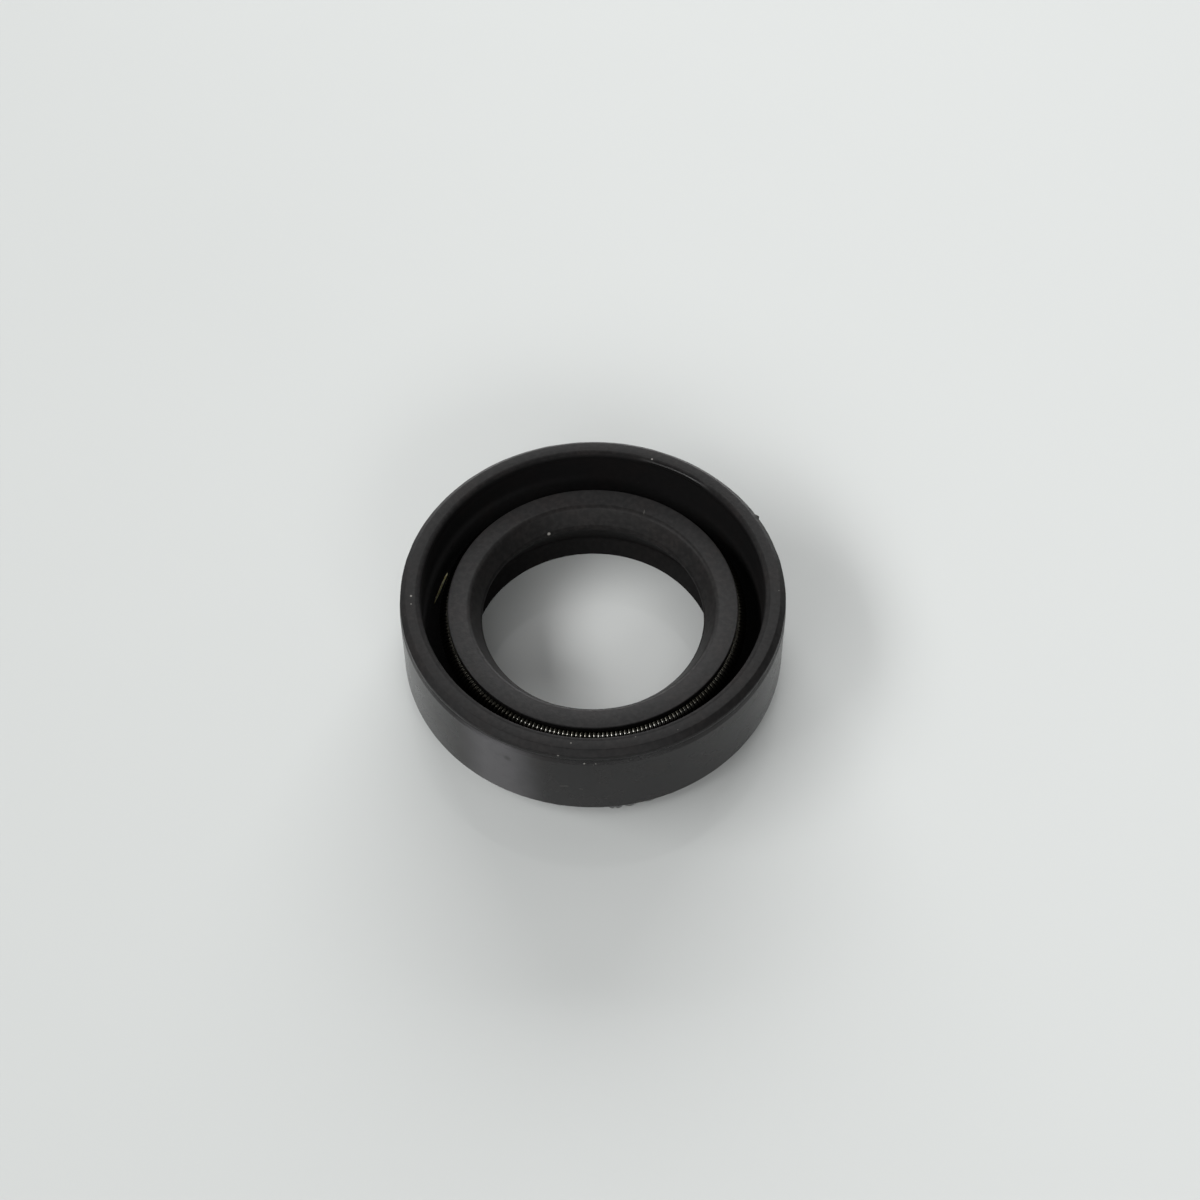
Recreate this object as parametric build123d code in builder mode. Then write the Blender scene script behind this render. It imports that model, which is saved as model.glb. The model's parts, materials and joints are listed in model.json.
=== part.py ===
"""Rubber-covered rotary shaft seal with a spring-loaded main lip and a dust lip.

Millimetres. +Z is the seal's axis and points to the spring side. The origin is on the axis,
in the plane of the flat back face that the seal rests on. Sections are drawn in the XZ plane,
as radius and height, and turned about Z.
"""

import os
from math import radians, tan

from build123d import *

# ---- Driving sizes ----

housing_diameter = 24.0  # bore that the rubber outside is pressed into
shaft_diameter = 15.0  # shaft that the lips run on
seal_width = 7.0  # back face to rim

# Outside of the wall, from the back face up
lead_in_height = 0.95  # bevel that starts the seal in its bore
lead_in_angle = 30.0  # its slope from the axis
back_edge_round = 0.12
rim_height = 0.78  # rim above the moulding's parting line
parting_depth = 0.12  # how deep the parting line's valley is
parting_slope_height = 0.32  # the outside rounds over this far below the valley
nose_step = 0.06  # rim wall inside the full diameter
nose_bevel = 0.34
nose_round = 0.08

# Wall and cavity
wall_thickness = 1.33
wall_draft = 0.12  # cavity wall leans in this far at the floor
rim_inner_round = 0.28
heel_thickness = 2.1  # back face to cavity floor
floor_outer_round = 1.0
floor_inner_round = 0.35

# Main lip
head_recess = 1.66  # head's flat top below the rim
head_flat_width = 1.39
head_edge_round = 0.08
head_inner_round = 0.34  # from the flat top into the oil side
lip_drop = 1.24  # from the head's top down to the contact band
lip_band_width = 0.20
lip_interference = 0.54  # per side, free lip inside the shaft's radius
lip_edge_round = 0.04
oil_side_angle = 30.5  # slopes of the lip's two sides from the axis
air_side_angle = 27.5
neck_thickness = 1.22  # flexing section, at its top
neck_round = 0.30
head_underside_drop = 0.40
spring_shelf = 0.25  # rubber under the spring groove

# Most of the cavity floor's width, and of the neck's height, that each rounding may take
floor_outer_share = 0.70
floor_inner_share = 0.25
neck_share = 0.50

# Dust lip
dust_lip_clearance = 0.20  # per side, round the shaft
dust_lip_edge_height = 0.20
dust_lip_edge_width = 0.15
dust_lip_slope = 39.0  # of its upper side, from the back face
dust_lip_underside = 0.37  # radial width of the bevel under its edge
pocket_round = 0.30

# Garter spring: a close-wound coil bent into a ring, here as the tube its turns make
spring_coil_diameter = 1.30
spring_wire_diameter = 0.25
spring_drop = 1.04  # head's top to the coil's middle
spring_offset = 0.08  # coil's middle inside the head's edge
spring_clearance = 0.03  # round the coil in its groove

# Steel case ring, moulded into the rubber
case_sheet = 0.60
case_outer_cover = 0.45  # rubber over the case at the outside
case_back_cover = 0.50  # and at the back face
case_rim_cover = 0.80  # and at the rim
case_hole_margin = 0.60  # case hole outside the pocket's corner
case_bend_radius = 0.20  # inside the bend

# ---- Derived places ----

outer_radius = housing_diameter / 2
shaft_radius = shaft_diameter / 2
wall_radius = outer_radius - wall_thickness
wall_foot_radius = wall_radius - wall_draft
lead_in_depth = lead_in_height * tan(radians(lead_in_angle))
parting_height = seal_width - rim_height
nose_radius = outer_radius - nose_step

head_top = seal_width - head_recess
lip_radius = shaft_radius - lip_interference
lip_top = head_top - lip_drop
lip_bottom = lip_top - lip_band_width
head_inner_radius = lip_radius + lip_drop * tan(radians(oil_side_angle))
head_radius = head_inner_radius + head_flat_width

spring_radius = spring_coil_diameter / 2
spring_height = head_top - spring_drop
spring_ring_radius = head_radius - spring_offset
groove_radius = spring_radius + spring_clearance
head_bottom = spring_height - groove_radius - spring_shelf
neck_top = head_bottom - head_underside_drop
neck_radius = lip_radius + (lip_bottom - neck_top) * tan(radians(air_side_angle)) + neck_thickness

# The floor's and the neck's roundings, limited by their walls
floor_width = wall_foot_radius - neck_radius
neck_height = neck_top - heel_thickness
floor_outer_bend = min(floor_outer_round, floor_outer_share * floor_width)
floor_inner_bend = min(floor_inner_round, floor_inner_share * floor_width, neck_share * neck_height)
neck_bend = min(neck_round, neck_share * neck_height)

# The dust lip's upper side and the main lip's air side meet in the pocket's corner.
dust_lip_radius = shaft_radius + dust_lip_clearance
dust_lip_top = dust_lip_edge_height + dust_lip_edge_width
dust_rise = tan(radians(dust_lip_slope))
air_run = tan(radians(air_side_angle))
pocket_radius = (
    lip_radius + air_run * (lip_bottom - dust_lip_top + dust_rise * dust_lip_radius)
) / (1 + air_run * dust_rise)
pocket_height = dust_lip_top + dust_rise * (pocket_radius - dust_lip_radius)

case_radius = outer_radius - case_outer_cover
case_hole_radius = pocket_radius + case_hole_margin
case_top = seal_width - case_rim_cover

# ---- Sections ----

# Corners of the rubber's section, each with its rounding, from the back face's inner edge
# round the outside, the cavity, the head, the two lips and back.
rubber_corners = [
    ((dust_lip_radius + dust_lip_underside, 0), 0),
    ((outer_radius - lead_in_depth, 0), back_edge_round),
    ((outer_radius, lead_in_height), back_edge_round),
    ((outer_radius, parting_height - parting_slope_height), parting_slope_height),
    ((outer_radius - parting_depth, parting_height), 0),
    ((nose_radius, parting_height + parting_depth), 0),
    ((nose_radius, seal_width - nose_bevel), nose_round),
    ((nose_radius - nose_bevel, seal_width), nose_round),
    ((wall_radius, seal_width), rim_inner_round),
    ((wall_foot_radius, heel_thickness), floor_outer_bend),
    ((neck_radius, heel_thickness), floor_inner_bend),
    ((neck_radius, neck_top), neck_bend),
    ((head_radius, head_bottom), head_edge_round),
    ((head_radius, head_top), head_edge_round),
    ((head_inner_radius, head_top), head_inner_round),
    ((lip_radius, lip_top), lip_edge_round),
    ((lip_radius, lip_bottom), lip_edge_round),
    ((pocket_radius, pocket_height), pocket_round),
    ((dust_lip_radius, dust_lip_top), 0),
    ((dust_lip_radius, dust_lip_edge_height), 0),
]


def case_outline():
    """The L-shaped section of the pressed case: a wall and an inward flange."""
    bend_outside = case_bend_radius + case_sheet
    corners = [
        ((case_hole_radius, case_back_cover), 0),
        ((case_radius, case_back_cover), bend_outside),
        ((case_radius, case_top), 0),
        ((case_radius - case_sheet, case_top), 0),
        ((case_radius - case_sheet, case_back_cover + case_sheet), case_bend_radius),
        ((case_hole_radius, case_back_cover + case_sheet), 0),
    ]
    FilletPolyline(
        *[point for point, _ in corners], radius=[bend for _, bend in corners], close=True
    )


# ---- Rubber moulding ----

with BuildPart() as seal_rubber:
    with BuildSketch(Plane.XZ):
        with BuildLine():
            FilletPolyline(
                *[point for point, _ in rubber_corners],
                radius=[rounding for _, rounding in rubber_corners],
                close=True,
            )
        make_face()
        # The spring's groove opens outwards through the head's side.
        with Locations((spring_ring_radius, spring_height)):
            Circle(groove_radius, mode=Mode.SUBTRACT)
        # The rubber closes round the case on every side.
        with BuildLine():
            case_outline()
        make_face(mode=Mode.SUBTRACT)
    revolve(axis=Axis.Z)

# ---- Steel case ring ----

with BuildPart() as case_ring:
    with BuildSketch(Plane.XZ):
        with BuildLine():
            case_outline()
        make_face()
    revolve(axis=Axis.Z)

# ---- Garter spring ----

with BuildPart() as garter_spring:
    with BuildSketch(Plane.XZ):
        with Locations((spring_ring_radius, spring_height)):
            Circle(spring_radius)
            Circle(spring_radius - spring_wire_diameter, mode=Mode.SUBTRACT)
    revolve(axis=Axis.Z)

# ---- Output ----

seal_rubber.part.label = "seal_rubber"
case_ring.part.label = "case_ring"
garter_spring.part.label = "garter_spring"

os.makedirs("parts", exist_ok=True)
export_step(seal_rubber.part, "parts/seal_rubber.step")
export_step(case_ring.part, "parts/case_ring.step")
export_step(garter_spring.part, "parts/garter_spring.step")

print(f"free lip {2 * lip_radius:.2f}, dust lip {2 * dust_lip_radius:.2f} across")
print(f"head {head_inner_radius:.3f} to {head_radius:.3f} at {head_top:.2f}, neck {neck_radius:.3f}")
print(f"pocket corner {pocket_radius:.3f} at {pocket_height:.3f}, case hole {case_hole_radius:.3f}")
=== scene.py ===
import json
import math
import random

import bpy
from mathutils import Matrix, Vector


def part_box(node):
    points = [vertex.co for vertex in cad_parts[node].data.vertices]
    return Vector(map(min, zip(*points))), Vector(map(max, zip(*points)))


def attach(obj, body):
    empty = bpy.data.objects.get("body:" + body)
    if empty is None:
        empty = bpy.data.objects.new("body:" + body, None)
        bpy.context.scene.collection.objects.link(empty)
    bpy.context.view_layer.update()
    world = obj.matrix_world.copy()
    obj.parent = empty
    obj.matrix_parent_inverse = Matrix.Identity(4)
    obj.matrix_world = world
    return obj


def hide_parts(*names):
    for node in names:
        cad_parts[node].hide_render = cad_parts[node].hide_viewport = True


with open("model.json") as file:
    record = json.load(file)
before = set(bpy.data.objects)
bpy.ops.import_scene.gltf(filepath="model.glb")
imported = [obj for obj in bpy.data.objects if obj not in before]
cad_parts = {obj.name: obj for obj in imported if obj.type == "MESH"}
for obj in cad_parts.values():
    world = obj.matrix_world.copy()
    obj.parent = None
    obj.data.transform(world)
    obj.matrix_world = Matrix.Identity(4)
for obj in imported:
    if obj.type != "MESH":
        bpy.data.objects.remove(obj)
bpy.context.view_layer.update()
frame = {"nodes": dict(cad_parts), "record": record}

mm = 0.001
mounts = {mount["name"]: mount for mount in frame["record"]["mounts"]}
weldDistance = 0.001 * mm


class Signal:  # one shader socket, used in sums like a number
    def __init__(self, tree, socket=None):
        self.tree = tree
        self.socket = socket

    def node(self, kind, settings, inputs, output=0):  # settings first, then values or links
        made = self.tree.nodes.new(kind)
        for name, value in settings.items():
            if name == "stops":
                ramp = made.color_ramp
                while len(ramp.elements) < len(value):
                    ramp.elements.new(1.0)
                for stop, (place, colour) in zip(ramp.elements, value):
                    stop.position = place
                    stop.color = colour
            else:
                setattr(made, name, value)
        for name, value in inputs.items():
            if isinstance(value, Signal):
                self.tree.links.new(value.socket, made.inputs[name])
            else:
                made.inputs[name].default_value = value
        return Signal(self.tree, made.outputs[output])

    def output(self, name):  # another output of the same node
        return Signal(self.tree, self.socket.node.outputs[name])

    def maths(self, operation, *values):
        return self.node("ShaderNodeMath", {"operation": operation}, dict(enumerate(values)))

    def __add__(self, other):
        return self.maths("ADD", self, other)

    def __radd__(self, other):
        return self.maths("ADD", other, self)

    def __sub__(self, other):
        return self.maths("SUBTRACT", self, other)

    def __rsub__(self, other):
        return self.maths("SUBTRACT", other, self)

    def __mul__(self, other):
        return self.maths("MULTIPLY", self, other)

    def __rmul__(self, other):
        return self.maths("MULTIPLY", other, self)

    def larger(self, other):
        return self.maths("MAXIMUM", self, other)

    def step(self, start, end):  # 0 below start, 1 above end, eased between
        return self.node(
            "ShaderNodeMapRange",
            {"interpolation_type": "SMOOTHSTEP"},
            {"Value": self, "From Min": start, "From Max": end},
        )

    def band(self, low, high, soft):
        return self.step(low - soft, low + soft) * (1 - self.step(high - soft, high + soft))

    def mix(self, first, second, blend="MIX"):  # from a mask and two colours
        settings = {"data_type": "RGBA", "blend_type": blend}
        return self.node("ShaderNodeMix", settings, {0: self, 6: first, 7: second}, output=2)

    def tones(self, stops):
        return self.node("ShaderNodeValToRGB", {"stops": stops}, {0: self})

    # the rest start from a place
    def noise(self, scale, detail):
        return self.node("ShaderNodeTexNoise", {}, {"Vector": self, "Scale": scale, "Detail": detail})

    def axes(self):
        split = self.node("ShaderNodeSeparateXYZ", {}, {"Vector": self})
        return [split.output(name) for name in "XYZ"]

    def vectorMaths(self, operation, other, output):
        return self.node("ShaderNodeVectorMath", {"operation": operation}, {0: self, 1: other}, output)

    def distance(self, centre):
        return self.vectorMaths("DISTANCE", centre, "Value")


def hypotenuse(x, y):
    return x.maths("SQRT", x * x + y * y)


def newMaterial(name):
    material = bpy.data.materials.new(name)
    material.use_nodes = True
    shader = material.node_tree.nodes["Principled BSDF"]
    place = Signal(material.node_tree).node("ShaderNodeTexCoord", {}, {}, output="Object")
    return material, shader, place


def feed(shader, socket, value):
    shader.id_data.links.new(value.socket, shader.inputs[socket])


def feedBump(shader, height):
    bump = height.node("ShaderNodeBump", {}, {"Height": height, "Strength": 1.0, "Distance": 1.0})
    feed(shader, "Normal", bump)
    return bump


def deselectAll():
    bpy.ops.object.select_all(action="DESELECT")


def makeActive(piece):
    deselectAll()
    piece.select_set(True)
    bpy.context.view_layer.objects.active = piece


def selectCorners(piece, wanted):  # in edit mode, vertices whose place passes the test
    bpy.ops.mesh.select_mode(type="VERT")
    bpy.ops.mesh.select_all(action="DESELECT")
    bpy.ops.object.mode_set(mode="OBJECT")
    for corner in piece.data.vertices:
        corner.select = wanted(corner.co)
    bpy.ops.object.mode_set(mode="EDIT")


def startOutline(name):  # an empty piece in edit mode, at the origin
    deselectAll()
    bpy.ops.mesh.primitive_plane_add(size=mm, location=(0, 0, 0))
    piece = bpy.context.active_object
    piece.name = piece.data.name = name
    bpy.ops.object.mode_set(mode="EDIT")
    bpy.ops.mesh.select_all(action="SELECT")
    bpy.ops.mesh.delete(type="VERT")
    return piece


def drawLoop(piece, corners, segments):  # a closed loop of (radius, height) corners with their roundings
    bpy.ops.mesh.select_all(action="DESELECT")
    bpy.ops.mesh.primitive_circle_add(vertices=3, radius=mm)
    bpy.ops.mesh.merge(type="CENTER")
    places = [Vector((radius, 0, height)) for (radius, height), _ in corners]
    bpy.ops.transform.translate(value=places[0])
    for before, after in zip(places, places[1:]):
        bpy.ops.mesh.extrude_region_move(TRANSFORM_OT_translate={"value": after - before})
    ends = (places[0], places[-1])
    near = 0.0001 * mm
    selectCorners(piece, lambda co: any((co - end).length < near for end in ends))
    bpy.ops.mesh.edge_face_add()
    for index, (_, rounding) in enumerate(corners):
        if rounding == 0:
            continue
        here = places[index]
        back = (places[index - 1] - here).normalized()
        onward = (places[(index + 1) % len(places)] - here).normalized()
        inside = back.angle(onward)
        selectCorners(piece, lambda co: (co - here).length < near)
        bpy.ops.mesh.bevel(
            affect="VERTICES", offset_type="OFFSET", offset=rounding / math.tan(inside / 2),
            segments=segments, profile=0.5, clamp_overlap=False,
        )


def weldAndTurnOutwards():  # in edit mode
    bpy.ops.mesh.select_all(action="SELECT")
    bpy.ops.mesh.remove_doubles(threshold=weldDistance)
    bpy.ops.mesh.normals_make_consistent(inside=False)


sealSection = dict(
    outerRadius=mounts["outside_press_fit"]["dims"]["r_mm"] * mm,
    lipRadius=mounts["shaft_lip"]["dims"]["r_mm"] * mm,
    width=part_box("seal_rubber")[1].z,
    leadInHeight=0.95 * mm, leadInAngle=30, backEdgeRound=0.12 * mm,
    rimHeight=0.78 * mm, partingDepth=0.12 * mm, partingSlope=0.32 * mm,
    noseStep=0.06 * mm, noseBevel=0.34 * mm, noseRound=0.08 * mm,
    wallThickness=1.33 * mm, wallDraft=0.12 * mm, rimInnerRound=0.28 * mm,
    heelThickness=2.10 * mm, floorOuterRound=1.00 * mm, floorInnerRound=0.35 * mm,
    headRecess=1.66 * mm, headFlat=1.39 * mm, headEdgeRound=0.08 * mm, headInnerRound=0.34 * mm,
    lipDrop=1.24 * mm, lipBand=0.20 * mm, lipEdgeRound=0.04 * mm,
    oilSideAngle=30.5, airSideAngle=27.5,
    neckThickness=1.22 * mm, neckRound=0.30 * mm, undersideDrop=0.40 * mm,
    springShelf=0.25 * mm, springClearance=0.03 * mm,
    dustLipRadius=7.70 * mm, dustEdgeHeight=0.20 * mm, dustEdgeWidth=0.15 * mm,
    dustSlope=39, dustUnderside=0.37 * mm, pocketRound=0.30 * mm,
    roundSteps=6, grooveSteps=20, turnSteps=512, smoothAngle=32,
)

springLow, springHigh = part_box("garter_spring")
springRadius = (springHigh.z - springLow.z) / 2
springHeight = (springHigh.z + springLow.z) / 2
springRingRadius = springHigh.x - springRadius


def slope(angle):
    return math.tan(math.radians(angle))


def grooveArc(head, groove, steps):  # the open side of the spring's groove, from its lower mouth up
    mouth = math.asin((head - springRingRadius) / groove)
    arc = []
    for index in range(steps + 1):
        turn = -math.pi / 2 + mouth - (math.pi + 2 * mouth) * index / steps
        place = (springRingRadius + groove * math.cos(turn), springHeight + groove * math.sin(turn))
        arc.append((place, 0))
    return arc


def sealCorners(s):
    parting = s["width"] - s["rimHeight"]
    nose = s["outerRadius"] - s["noseStep"]
    wall = s["outerRadius"] - s["wallThickness"]
    headTop = s["width"] - s["headRecess"]
    lipTop = headTop - s["lipDrop"]
    lipBottom = lipTop - s["lipBand"]
    headInner = s["lipRadius"] + s["lipDrop"] * slope(s["oilSideAngle"])
    head = headInner + s["headFlat"]
    groove = springRadius + s["springClearance"]
    headBottom = springHeight - groove - s["springShelf"]
    neckTop = headBottom - s["undersideDrop"]
    airRun = slope(s["airSideAngle"])
    neck = s["lipRadius"] + (lipBottom - neckTop) * airRun + s["neckThickness"]
    dustTop = s["dustEdgeHeight"] + s["dustEdgeWidth"]
    dustRise = slope(s["dustSlope"])
    pocket = s["lipRadius"] + airRun * (lipBottom - dustTop + dustRise * s["dustLipRadius"])
    pocket /= 1 + airRun * dustRise
    pocketHeight = dustTop + dustRise * (pocket - s["dustLipRadius"])
    outside = [
        ((s["dustLipRadius"] + s["dustUnderside"], 0), 0),
        ((s["outerRadius"] - s["leadInHeight"] * slope(s["leadInAngle"]), 0), s["backEdgeRound"]),
        ((s["outerRadius"], s["leadInHeight"]), s["backEdgeRound"]),
        ((s["outerRadius"], parting - s["partingSlope"]), s["partingSlope"]),
        ((s["outerRadius"] - s["partingDepth"], parting), 0),
        ((nose, parting + s["partingDepth"]), 0),
        ((nose, s["width"] - s["noseBevel"]), s["noseRound"]),
        ((nose - s["noseBevel"], s["width"]), s["noseRound"]),
    ]
    cavity = [
        ((wall, s["width"]), s["rimInnerRound"]),
        ((wall - s["wallDraft"], s["heelThickness"]), s["floorOuterRound"]),
        ((neck, s["heelThickness"]), s["floorInnerRound"]),
        ((neck, neckTop), s["neckRound"]),
        ((head, headBottom), s["headEdgeRound"]),
    ]
    lips = [
        ((head, headTop), s["headEdgeRound"]),
        ((headInner, headTop), s["headInnerRound"]),
        ((s["lipRadius"], lipTop), s["lipEdgeRound"]),
        ((s["lipRadius"], lipBottom), s["lipEdgeRound"]),
        ((pocket, pocketHeight), s["pocketRound"]),
        ((s["dustLipRadius"], dustTop), 0),
        ((s["dustLipRadius"], s["dustEdgeHeight"]), 0),
    ]
    return outside + cavity + grooveArc(head, groove, s["grooveSteps"]) + lips


def makeSeal(s):
    seal = startOutline("rubber_seal")
    drawLoop(seal, sealCorners(s), s["roundSteps"])
    bpy.ops.mesh.select_all(action="SELECT")
    bpy.ops.mesh.spin(
        steps=s["turnSteps"], angle=math.tau, center=(0, 0, 0), axis=(0, 0, 1), use_auto_merge=True,
    )
    weldAndTurnOutwards()
    bpy.ops.object.mode_set(mode="OBJECT")
    addMouldMarks(seal, mouldMarks, s)
    bpy.ops.object.shade_smooth_by_angle(angle=math.radians(s["smoothAngle"]))
    print("seal:", len(seal.data.polygons), "faces")
    return seal


def around(radius, azimuth, height):  # a place on the seal from millimetres and degrees
    turn = math.radians(azimuth)
    return Vector((radius * math.cos(turn), radius * math.sin(turn), height)) * mm


mouldMarks = dict(
    seed=11, edgeRipple=0.012 * mm, rippleSteps=3,
    # how far the rim's marks reach in from the outside, below the parting line and below the rim
    rimReach=(0.15 * mm, 0.05 * mm, 0.2 * mm),
    # how far the back edge's marks reach in, and their height
    backReach=(0.01 * mm, 0.08 * mm),
    # azimuth, half width in degrees and how far each tag of flash stands out of the back edge
    flashTags=(
        (-84.5, 0.9, 0.16 * mm), (-82.7, 0.7, 0.20 * mm), (-79.0, 1.6, 0.12 * mm),
        (-72.6, 1.4, 0.08 * mm), (-65.7, 1.8, 0.07 * mm), (-58.5, 1.2, 0.06 * mm),
        (-101.0, 1.1, 0.04 * mm), (-128.0, 1.0, 0.04 * mm), (-33.0, 1.3, 0.05 * mm),
        (64.0, 1.6, 0.06 * mm), (141.0, 1.2, 0.05 * mm),
    ),
    rimNib=(29.0, 0.8, 0.14 * mm),
)


def tagHeight(azimuth, tag):
    middle, half, height = tag
    return height * max(0, 1 - abs(azimuth - middle) / half) ** 0.5


def addMouldMarks(piece, m, s):  # uneven edges, tags of flash and the nib on the rim
    dice = random.Random(m["seed"])
    count = s["turnSteps"]
    ripple = [dice.uniform(-1, 1) for _ in range(count)]
    reach = m["rippleSteps"]
    smooth = [
        sum(ripple[(index + shift) % count] for shift in range(-reach, reach + 1)) / reach
        for index in range(count)
    ]
    rimIn, rimBelow, rimAbove = m["rimReach"]
    backIn, backAbove = m["backReach"]
    rimRadius = s["outerRadius"] - rimIn
    rimLow, rimHigh = s["width"] - s["rimHeight"] - rimBelow, s["width"] - rimAbove
    backRadius = s["outerRadius"] - s["leadInHeight"] * slope(s["leadInAngle"]) - backIn
    for corner in piece.data.vertices:
        radius = math.hypot(corner.co.x, corner.co.y)
        azimuth = math.degrees(math.atan2(corner.co.y, corner.co.x))
        push = 0
        if radius > rimRadius and rimLow < corner.co.z < rimHigh:
            push += m["edgeRipple"] * smooth[round(azimuth / 360 * count) % count]
            push += tagHeight(azimuth, m["rimNib"])
        if radius > backRadius and corner.co.z < backAbove:
            push += m["edgeRipple"] * smooth[round(azimuth / 180 * count) % count]
            push += sum(tagHeight(azimuth, tag) for tag in m["flashTags"])
        if push:
            corner.co.x *= 1 + push / radius
            corner.co.y *= 1 + push / radius


# where each zone of the moulding starts and ends, by radius or height, and how softly
rubberZones = dict(
    outsideDepths=(0.16 * mm, 0.04 * mm), outsideTop=0.1 * mm,
    headRadius=(9.06 * mm, 9.12 * mm), rimRadius=(10.68 * mm, 10.74 * mm), rimTop=0.3 * mm,
    underRadius=(8.60 * mm, 8.80 * mm), lipHeight=(3.84 * mm, 3.90 * mm),
    lipEdgeRadius=(7.02 * mm, 7.10 * mm), coneRadius=(7.80 * mm, 7.94 * mm),
    headEdgeRadius=(7.60 * mm, 7.87 * mm, 0.07 * mm), headEdgeHeight=(4.75 * mm, 4.90 * mm),
    rimEdgeRadius=(10.66 * mm, 11.00 * mm, 0.05 * mm), rimEdgeHeight=(6.60 * mm, 6.75 * mm),
    polishPlace=around(10.8, 60, 6.9), polishReach=(1.2 * mm, 3.0 * mm),
    noseRadius=(11.50 * mm, 11.60 * mm), noseHeight=(6.35 * mm, 6.50 * mm),
    cavityRadius=(9.10 * mm, 10.70 * mm, 0.02 * mm), cavityHeight=(6.4 * mm, 6.8 * mm),
    deepHeight=(3.4 * mm, 5.0 * mm), paintedReflectionSide=(-7.5 * mm, 1.5 * mm), paintedReflectionHeight=(3.7 * mm, 5.2 * mm),
)

rubberLook = dict(
    base=dict(
        inside=(0.0042, 0.0040, 0.0041, 1), deep=(0.0125, 0.0120, 0.0122, 1),
        # painted reflection: the cavity's lower left is painted lighter
        paintedReflection=(0.0300, 0.0290, 0.0295, 1), outside=(0.0100, 0.0094, 0.0097, 1),
        head=(0.0105, 0.0101, 0.0103, 1), rim=(0.0070, 0.0067, 0.0068, 1),
        cone=(0.0090, 0.0086, 0.0086, 1), under=(0.0035, 0.0033, 0.0033, 1),
    ),
    roughness=dict(inside=0.30, outside=0.27, head=0.46, rim=0.50, under=0.62, rimEdge=0.80),
    polishShare=0.60, mottleRoughness=0.12, roughest=0.9, ior=1.37,
    # how much of each zone's skin is chalky, and how that skin shines
    chalky=dict(
        headEdge=0.62, greyRimEdge=0.75, nose=0.5, under=0.9, cone=0.4, cavity=0.8, rim=0.42, lipEdge=0.9,
    ),
    chalkyRoughness=0.8, chalkyShine=0.12,
    # fine grain, stronger on the ground head and rim than on the moulded sides
    grainScale=7000, grainHeight=0.008 * mm, sideGrain=0.25, mottleScale=420, mottleGrain=0.25,
    speckleScale=3000, speckleReach=(0.35, 0.70), sideSpeckle=0.3, speckleTint=(1.7, 1.68, 1.65, 1),
    warmReach=(0.45, 0.75), warmTint=(1.15, 1.03, 1.0, 1),
    # a painted highlight: a pale, duller patch on the outside standing in for a reflection, and a darker smudge
    # in it
    paintedHighlight=(0.078, 0.076, 0.080, 1), paintedHighlightPlace=around(12.0, -119, 0), paintedHighlightReach=(0.3 * mm, 3.4 * mm),
    paintedHighlightRagged=1.2 * mm, paintedHighlightPatches=(0.65, 0.7), paintedHighlightRoughness=0.12,
    smudgePlace=around(12.0, -115.8, 4.83), smudgeReach=(0.07 * mm, 0.35 * mm), smudgeShare=0.6,
)

rubberDust = dict(
    colour=(0.30, 0.29, 0.27, 1), roughness=0.4,
    # fine specks anywhere: how close, how big, how many and how strong
    scale=1300, size=(0.030, 0.066), chance=(0.90, 0.98), strength=0.35,
    # places, sizes and strengths of the bigger specks
    specks=(
        (around(11.23, -178.1, 7.0), 0.085 * mm, 0.9), (around(11.24, -175.0, 7.0), 0.060 * mm, 0.6),
        (around(10.93, 69.3, 6.98), 0.080 * mm, 0.9), (around(11.20, -97.0, 7.0), 0.065 * mm, 0.5),
        (around(11.95, -100.3, 6.6), 0.085 * mm, 0.6), (around(11.98, -92.8, 6.0), 0.080 * mm, 0.6),
        (around(11.98, -89.5, 6.0), 0.060 * mm, 0.5), (around(7.00, 113.5, 4.15), 0.14 * mm, 1.0),
        (around(11.0, -77.0, 7.0), 0.045 * mm, 0.4), (around(11.4, -64.0, 7.0), 0.040 * mm, 0.4),
    ),
    speckCore=0.4,
    # middle, direction, half length, half width and strength of each scratch
    scratches=(
        (around(12.0, -98.7, 3.28), around(1, -8.7, 0.25), 0.34 * mm, 0.035 * mm, 0.25),
        (around(12.0, -93.8, 3.10), around(1, -3.8, -0.10), 0.14 * mm, 0.035 * mm, 0.20),
        (around(7.95, 65.3, 5.34), around(1, 80.0, 0.0), 0.22 * mm, 0.030 * mm, 0.25),
        (around(7.95, 65.3, 5.34), around(1, 10.0, 0.0), 0.08 * mm, 0.030 * mm, 0.25),
    ),
    scratchCore=0.3, scratchTaper=0.6,
)


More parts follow.
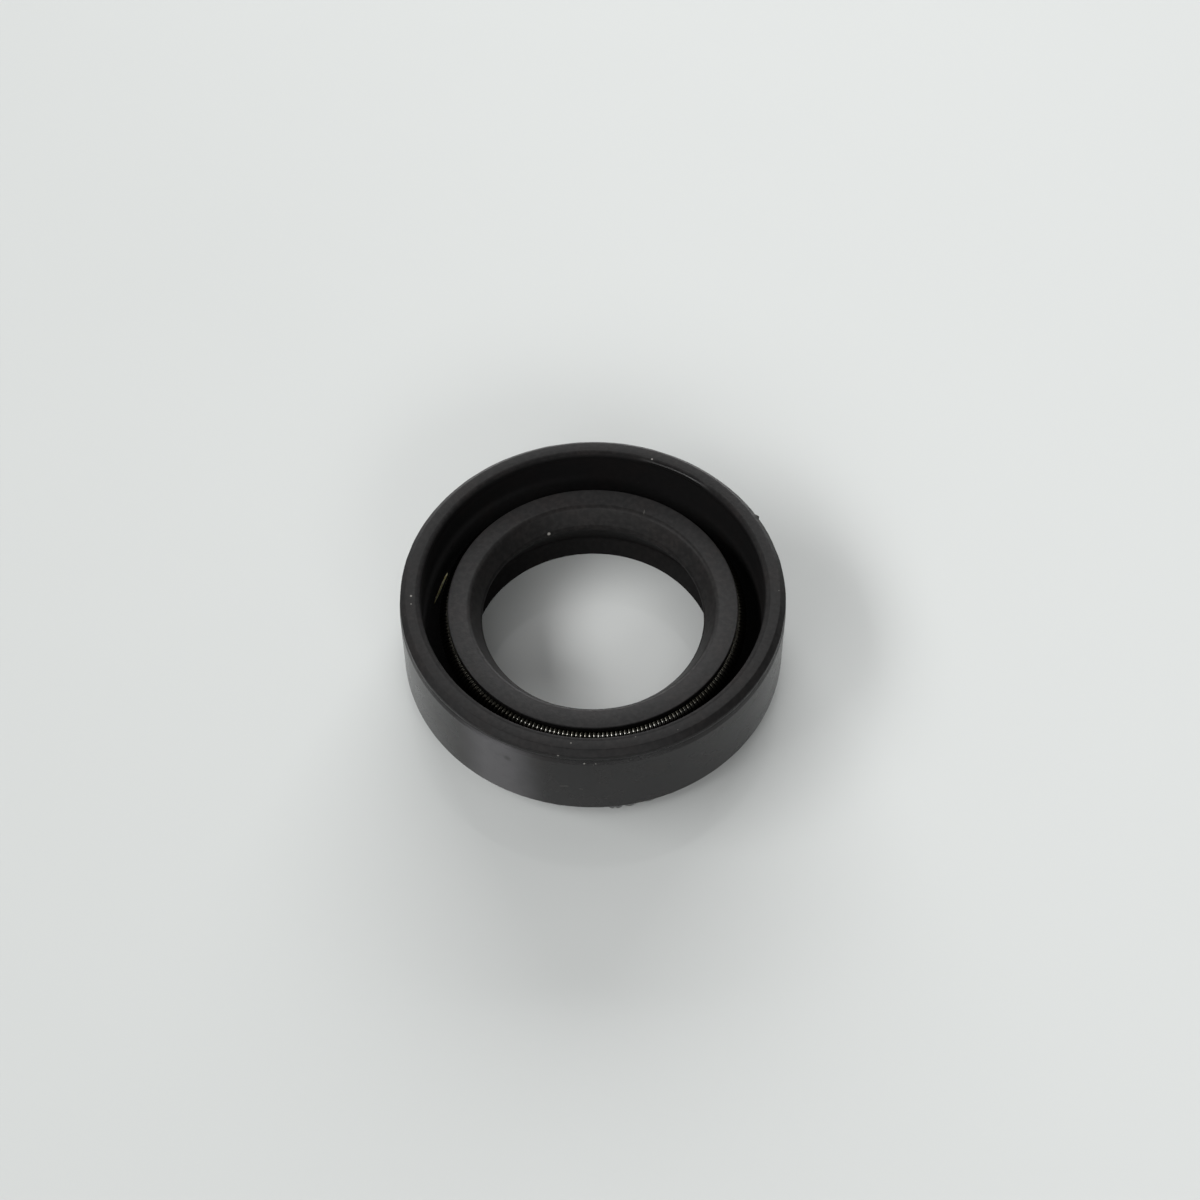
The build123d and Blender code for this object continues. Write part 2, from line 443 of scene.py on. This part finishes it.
def zoneMasks(place, zones, s):
    x, y, z = place.axes()
    radius = hypotenuse(x, y)
    parting = s["width"] - s["rimHeight"]
    outsideRadius = (s["outerRadius"] - depth for depth in zones["outsideDepths"])
    masks = dict(
        outside=radius.step(*outsideRadius) * (1 - z.step(parting, parting + zones["outsideTop"])),
        head=1 - radius.step(*zones["headRadius"]),
        rim=radius.step(*zones["rimRadius"]) * z.step(parting, s["width"] - zones["rimTop"]),
        under=(1 - radius.step(*zones["underRadius"])) * (1 - z.step(*zones["lipHeight"])),
        lipEdge=(1 - radius.step(*zones["lipEdgeRadius"])) * z.step(*zones["lipHeight"]),
        headEdge=radius.band(*zones["headEdgeRadius"]) * z.step(*zones["headEdgeHeight"]),
        rimEdge=radius.band(*zones["rimEdgeRadius"]) * z.step(*zones["rimEdgeHeight"]),
        nose=radius.step(*zones["noseRadius"]) * z.step(*zones["noseHeight"]),
        cavity=radius.band(*zones["cavityRadius"]) * (1 - z.step(*zones["cavityHeight"])),
        deep=1 - z.step(*zones["deepHeight"]),
    )
    masks["cone"] = (1 - radius.step(*zones["coneRadius"])) * (1 - masks["under"])
    # painted reflection: a lighter patch low on the cavity's left side
    masks["paintedReflection"] = masks["cavity"] * (1 - x.step(*zones["paintedReflectionSide"])) * (1 - z.step(*zones["paintedReflectionHeight"]))
    masks["polish"] = masks["rimEdge"] * (1 - place.distance(zones["polishPlace"]).step(*zones["polishReach"]))
    masks["greyRimEdge"] = masks["rimEdge"] * (1 - masks["polish"])
    masks["top"] = masks["head"].larger(masks["rim"])
    return masks


# painted highlight: a ragged, patchy pale patch on the outside, with a darker smudge in it
def paintedHighlightMask(place, mottle, look):
    x, y, _ = place.axes()
    off = hypotenuse(x - look["paintedHighlightPlace"].x, y - look["paintedHighlightPlace"].y)
    paintedHighlight = 1 - (off + (mottle - 0.5) * look["paintedHighlightRagged"]).step(*look["paintedHighlightReach"])
    smudge = 1 - place.distance(look["smudgePlace"]).step(*look["smudgeReach"])
    least, patches = look["paintedHighlightPatches"]
    fineMottle = place.noise(look["mottleScale"] * 4, 4)
    return paintedHighlight * (1 - look["smudgeShare"] * smudge) * (least + patches * fineMottle)


def dustMask(place, d):
    flecks = place.node("ShaderNodeTexVoronoi", {}, {"Vector": place, "Scale": d["scale"]}, output="Distance")
    luck = place.node("ShaderNodeSeparateColor", {}, {"Color": flecks.output("Color")}, output="Red")
    dust = (1 - flecks.step(*d["size"])) * luck.step(*d["chance"]) * d["strength"]
    for centre, size, strength in d["specks"]:
        dust = dust.larger((1 - place.distance(centre).step(size * d["speckCore"], size)) * strength)
    for centre, direction, halfLength, halfWidth, strength in d["scratches"]:
        away = place.vectorMaths("SUBTRACT", centre, "Vector")
        along = away.vectorMaths("DOT_PRODUCT", direction.normalized(), "Value")
        span = place.distance(centre)
        across = place.maths("SQRT", (span * span - along * along).larger(0.0))
        line = 1 - across.step(halfWidth * d["scratchCore"], halfWidth)
        line = line * (1 - along.maths("ABSOLUTE", along).step(halfLength * d["scratchTaper"], halfLength))
        dust = dust.larger(line * strength)
    return dust


def rubberMaterial(look, dustLook, zones, s):
    material, shader, place = newMaterial("moulded_nitrile_rubber")
    masks = zoneMasks(place, zones, s)
    mottle = place.noise(look["mottleScale"], 5)
    # painted highlight on the outside wall
    paintedHighlight = paintedHighlightMask(place, mottle, look) * masks["outside"]
    dust = dustMask(place, dustLook)

    colour = masks["deep"].mix(look["base"]["inside"], look["base"]["deep"])
    for zone in ("paintedReflection", "outside", "head", "rim", "cone", "under"):
        colour = masks[zone].mix(colour, look["base"][zone])
    speckle = place.noise(look["speckleScale"], 2).step(*look["speckleReach"])
    speckle = speckle * (look["sideSpeckle"] + (1 - look["sideSpeckle"]) * masks["top"])
    colour = speckle.mix(colour, look["speckleTint"], "MULTIPLY")
    colour = mottle.step(*look["warmReach"]).mix(colour, look["warmTint"], "MULTIPLY")
    colour = paintedHighlight.mix(colour, look["paintedHighlight"])
    colour = dust.mix(colour, dustLook["colour"])

    # each zone's roughness lies over that of the zone it is part of
    rough = look["roughness"]
    roughness = rough["inside"]
    partOf = dict(outside="inside", head="inside", rim="inside", under="head", rimEdge="rim")
    for zone, wider in partOf.items():
        roughness = roughness + masks[zone] * (rough[zone] - rough[wider])
    roughness = roughness - masks["polish"] * look["polishShare"] + (mottle - 0.5) * look["mottleRoughness"]
    roughness = roughness + dust * dustLook["roughness"] + paintedHighlight * look["paintedHighlightRoughness"]

    feed(shader, "Base Color", colour)
    feed(shader, "Roughness", place.maths("MINIMUM", roughness, look["roughest"]))
    shader.inputs["IOR"].default_value = look["ior"]
    grain = place.noise(look["grainScale"], 2) * (look["sideGrain"] + (1 - look["sideGrain"]) * masks["top"])
    bump = feedBump(shader, (grain + mottle * look["mottleGrain"]) * look["grainHeight"])

    # a chalky skin, which shines less, on the dull parts
    dull = 0.0
    for zone, amount in look["chalky"].items():
        dull = (masks[zone] * amount).larger(dull)
    chalky = place.node(
        "ShaderNodeBsdfPrincipled", {},
        {
            "Base Color": colour, "Roughness": look["chalkyRoughness"],
            "Specular IOR Level": look["chalkyShine"], "Normal": bump,
        },
    )
    smooth = Signal(material.node_tree, shader.outputs["BSDF"])
    skin = place.node("ShaderNodeMixShader", {}, {0: dull, 1: smooth, 2: chalky})
    feed(material.node_tree.nodes["Material Output"], "Surface", skin)
    return material


seal = makeSeal(sealSection)
seal.data.materials.append(rubberMaterial(rubberLook, rubberDust, rubberZones, sealSection))
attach(seal, "root")
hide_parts("seal_rubber")


coilSizes = dict(wire=0.25 * mm, turns=216, stepsPerTurn=14, wireSides=8, smoothAngle=60)


def makeSpring(c):
    wireRadius = c["wire"] / 2
    middle = springRadius - wireRadius
    length = math.tau * springRingRadius
    deselectAll()
    bpy.ops.mesh.primitive_circle_add(vertices=c["wireSides"], radius=wireRadius)
    spring = bpy.context.active_object
    spring.name = spring.data.name = "spring_coil"
    bpy.ops.object.mode_set(mode="EDIT")
    bpy.ops.transform.rotate(value=math.pi / 2, orient_axis="X", center_override=(0, 0, 0))
    bpy.ops.transform.translate(value=(middle, 0, 0))
    bpy.ops.object.mode_set(mode="OBJECT")
    screw = spring.modifiers.new("turns", "SCREW")
    screw.axis = "Z"
    screw.angle = math.tau
    screw.screw_offset = length / c["turns"]
    screw.iterations = c["turns"]
    screw.steps = screw.render_steps = c["stepsPerTurn"]
    makeActive(spring)
    bpy.ops.object.modifier_apply(modifier=screw.name)
    for corner in spring.data.vertices:  # the straight coil is bent round into the ring
        turn = math.tau * corner.co.z / length
        reach = springRingRadius + corner.co.x
        corner.co = (reach * math.cos(turn), reach * math.sin(turn), springHeight + corner.co.y)
    bpy.ops.object.mode_set(mode="EDIT")
    weldAndTurnOutwards()
    bpy.ops.object.mode_set(mode="OBJECT")
    bpy.ops.object.shade_smooth_by_angle(angle=math.radians(c["smoothAngle"]))
    print("spring:", len(spring.data.polygons), "faces")
    return spring


springLook = dict(
    stainScale=900, stainTones=[(0.35, (0.38, 0.375, 0.355, 1)), (0.70, (0.26, 0.25, 0.215, 1))],
    drawnScale=9000, drawnHeight=0.002 * mm,
    # painted shade darkens and roughens all but a stretch at the front, and all but the track along the coil's
    # outer top, where the wire catches light
    litStretchPlace=around(9.04, -84, 4.3), litStretchReach=(2.4 * mm, 7.5 * mm), litStretchRagged=1.5 * mm,
    litTrack=(9.27 * mm, 9.42 * mm, 0.03 * mm), paintedShadeTint=(0.16, 0.155, 0.14, 1),
    roughness=0.10, stainRoughness=0.06, drawnRoughness=0.04, paintedShadeRoughness=0.1,
)


def springMaterial(look):
    material, shader, place = newMaterial("drawn_spring_wire")
    stain = place.noise(look["stainScale"], 4)
    drawn = place.noise(look["drawnScale"], 2)
    x, y, _ = place.axes()
    # painted shade on the wire, away from the lit stretch and the lit track
    fromLitStretch = place.distance(look["litStretchPlace"]) + (stain - 0.5) * look["litStretchRagged"]
    paintedShade = fromLitStretch.step(*look["litStretchReach"]).larger(1 - hypotenuse(x, y).band(*look["litTrack"]))
    feed(shader, "Base Color", paintedShade.mix(stain.tones(look["stainTones"]), look["paintedShadeTint"], "MULTIPLY"))
    roughness = look["roughness"] + stain * look["stainRoughness"] + drawn * look["drawnRoughness"]
    feed(shader, "Roughness", roughness + paintedShade * look["paintedShadeRoughness"])
    shader.inputs["Metallic"].default_value = 1
    feedBump(shader, drawn * look["drawnHeight"])
    return material


spring = makeSpring(coilSizes)
spring.data.materials.append(springMaterial(springLook))
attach(spring, "root")
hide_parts("garter_spring")


fibreShape = dict(
    thickness=0.18 * mm, sides=8,
    # from the spring's outside down to the foot of the cavity wall, with the width at each place
    places=(
        (around(9.68, 161.2, 4.62), 0.35), (around(9.86, 163.2, 4.10), 0.95),
        (around(10.04, 165.2, 3.50), 1.0), (around(10.20, 167.0, 2.98), 0.75),
        (around(10.34, 168.4, 2.56), 0.30),
    ),
)


def makeFibre(f):
    places = f["places"]
    deselectAll()
    bpy.ops.mesh.primitive_circle_add(vertices=f["sides"], radius=f["thickness"] / 2, fill_type="NGON")
    fibre = bpy.context.active_object
    fibre.name = fibre.data.name = "stray_fibre"
    bpy.ops.object.mode_set(mode="EDIT")
    bpy.ops.mesh.select_all(action="SELECT")
    lean = Vector((0, 0, 1)).rotation_difference(places[1][0] - places[0][0]).to_euler()
    for axis, angle in zip("XYZ", lean):
        bpy.ops.transform.rotate(value=-angle, orient_axis=axis, center_override=(0, 0, 0))
    bpy.ops.transform.resize(value=(places[0][1],) * 3, center_override=(0, 0, 0))
    bpy.ops.transform.translate(value=places[0][0])
    for (here, wide), (there, nextWide) in zip(places, places[1:]):
        bpy.ops.mesh.extrude_region_move(TRANSFORM_OT_translate={"value": there - here})
        bpy.ops.transform.resize(value=(nextWide / wide,) * 3, center_override=tuple(there))
    bpy.ops.mesh.select_all(action="SELECT")
    bpy.ops.mesh.normals_make_consistent(inside=False)
    bpy.ops.object.mode_set(mode="OBJECT")
    rounding = fibre.modifiers.new("rounding", "SUBSURF")
    rounding.levels = rounding.render_levels = 1
    makeActive(fibre)
    bpy.ops.object.modifier_apply(modifier=rounding.name)
    bpy.ops.object.shade_smooth()
    print("fibre:", len(fibre.data.polygons), "faces")
    return fibre


fibreLook = dict(
    streakScale=5000, streakTones=[(0.35, (0.58, 0.51, 0.24, 1)), (0.65, (0.84, 0.80, 0.52, 1))],
    roughness=0.30, streakRoughness=0.2,
)


def fibreMaterial(look):
    material, shader, place = newMaterial("straw_fibre")
    streaks = place.noise(look["streakScale"], 3)
    feed(shader, "Base Color", streaks.tones(look["streakTones"]))
    feed(shader, "Roughness", look["roughness"] + streaks * look["streakRoughness"])
    return material


fibre = makeFibre(fibreShape)
fibre.data.materials.append(fibreMaterial(fibreLook))
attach(fibre, "root")


# pressed sheet, inside the rubber
caseLook = dict(
    patchScale=350,
    patchTones=[(0.30, (0.30, 0.29, 0.28, 1)), (0.55, (0.46, 0.45, 0.44, 1)), (0.80, (0.38, 0.33, 0.28, 1))],
    drawMarkScale=1500, drawMarkStretch=(1, 1, 12), drawMarkHeight=0.006 * mm,
    roughness=0.34, patchRoughness=0.14, drawMarkRoughness=0.08,
)


def caseMaterial(look):
    material, shader, place = newMaterial("pressed_case_steel")
    patches = place.noise(look["patchScale"], 6)
    stretched = place.node("ShaderNodeMapping", {}, {"Vector": place, "Scale": look["drawMarkStretch"]})
    drawMarks = stretched.noise(look["drawMarkScale"], 3)
    feed(shader, "Base Color", patches.tones(look["patchTones"]))
    roughness = look["roughness"] + patches * look["patchRoughness"] + drawMarks * look["drawMarkRoughness"]
    feed(shader, "Roughness", roughness)
    shader.inputs["Metallic"].default_value = 1
    feedBump(shader, drawMarks * look["drawMarkHeight"])
    return material


caseNode = frame["nodes"]["case_ring"]
caseNode.data.materials.clear()
caseNode.data.materials.append(caseMaterial(caseLook))


plate = dict(
    size=3.0, drop=0.005 * mm, ior=1.42, roughness=0.03, cloudRoughness=0.02, cloudScale=40, cloudDrift=12 * mm,
    # painted shade: the floor's colour is a little darker on one side and towards the front
    paintedShadeTone=(0.590, 0.607, 0.598, 1), paintedLightTone=(0.695, 0.714, 0.705, 1),
    paintedShadeFade=(-68 * mm, 56 * mm), frontShare=0.30,
    # and painted light: the floor is palest in the middle of the ring, standing in for the light that reaches it
    # there
    paintedLightPool=(0.850, 0.870, 0.857, 1), paintedLightPoolReach=(4.0 * mm, 9.0 * mm),
)


def plateMaterial(p):
    material, shader, place = newMaterial("glossy_white_plate")
    x, y, _ = place.axes()
    clouds = place.noise(p["cloudScale"], 3)
    # painted shade: the floor's colour is darker to one side and towards the front
    shade = (x + y * p["frontShare"] + (clouds - 0.5) * p["cloudDrift"]).step(*p["paintedShadeFade"])
    # painted light: the floor's colour is palest in the middle of the ring
    paintedLightPoolMask = 1 - hypotenuse(x, y).step(*p["paintedLightPoolReach"])
    feed(shader, "Base Color", paintedLightPoolMask.mix(shade.mix(p["paintedShadeTone"], p["paintedLightTone"]), p["paintedLightPool"]))
    feed(shader, "Roughness", p["roughness"] + clouds * p["cloudRoughness"])
    shader.inputs["IOR"].default_value = p["ior"]
    return material


def makePlate(p):
    deselectAll()
    bpy.ops.mesh.primitive_plane_add(size=p["size"], location=(0, 0, -p["drop"]))
    floor = bpy.context.active_object
    floor.name = "pale_floor"
    floor.data.materials.append(plateMaterial(p))


studio = dict(
    distance=0.8, surround=0.14,
    # azimuth, elevation, width and height in degrees, as the seal sees each panel
    panels=dict(
        backWindow=dict(azimuth=88, elevation=20, wide=56, high=20, radiance=9.5),
        windowSill=dict(azimuth=84, elevation=6, wide=80, high=9, radiance=4.5),
        leftPanel=dict(azimuth=188, elevation=41, wide=44, high=17, radiance=6.7),
        cornerPanel=dict(azimuth=228, elevation=37, wide=34, high=12, radiance=3.8),
        frontPanel=dict(azimuth=-69, elevation=29, wide=26, high=16, radiance=4.6),
        upperPanel=dict(azimuth=86, elevation=56, wide=70, high=38, radiance=0.45),
        broadFront=dict(azimuth=-104, elevation=26, wide=56, high=14, radiance=3.0),
    ),
)


def makeLight(name, light, distance):
    azimuth, elevation = math.radians(light["azimuth"]), math.radians(light["elevation"])
    towards = Vector((
        math.cos(elevation) * math.cos(azimuth), math.cos(elevation) * math.sin(azimuth), math.sin(elevation),
    ))
    wide, high = (2 * distance * math.tan(math.radians(light[side] / 2)) for side in ("wide", "high"))
    bpy.ops.object.light_add(type="AREA", location=towards * distance)
    lamp = bpy.context.active_object
    lamp.name = name
    lamp.rotation_euler = towards.to_track_quat("Z", "Y").to_euler()
    lamp.data.shape = "RECTANGLE"
    lamp.data.size, lamp.data.size_y = wide, high
    lamp.data.energy = light["radiance"] * math.pi * wide * high


def makeSurround(strength):
    world = bpy.data.worlds.new("studio")
    bpy.context.scene.world = world
    world.use_nodes = True
    world.node_tree.nodes["Background"].inputs["Color"].default_value = (1, 1, 1, 1)
    world.node_tree.nodes["Background"].inputs["Strength"].default_value = strength


# angles in degrees, lens and sensor in millimetres
cameraView = dict(
    place=(0, -89.18 * mm, 133.24 * mm), down=55.0, turn=0.2857, roll=0.1977, lens=75, sensor=36, nearest=1 * mm,
)


def makeCamera(c):
    bpy.ops.object.camera_add()
    camera = bpy.context.active_object
    camera.name = "camera"
    camera.matrix_world = (
        Matrix.Translation(c["place"])
        @ Matrix.Rotation(-math.radians(c["turn"]), 4, "Z")
        @ Matrix.Rotation(math.radians(90 - c["down"]), 4, "X")
        @ Matrix.Rotation(-math.radians(c["roll"]), 4, "Z")
    )
    camera.data.lens = c["lens"]
    camera.data.sensor_width = c["sensor"]
    camera.data.clip_start = c["nearest"]
    bpy.context.scene.camera = camera


makePlate(plate)
for name, panel in studio["panels"].items():
    makeLight(name, panel, studio["distance"])
makeSurround(studio["surround"])
makeCamera(cameraView)
bpy.context.scene.view_settings.view_transform = "Standard"
print("studio ready")
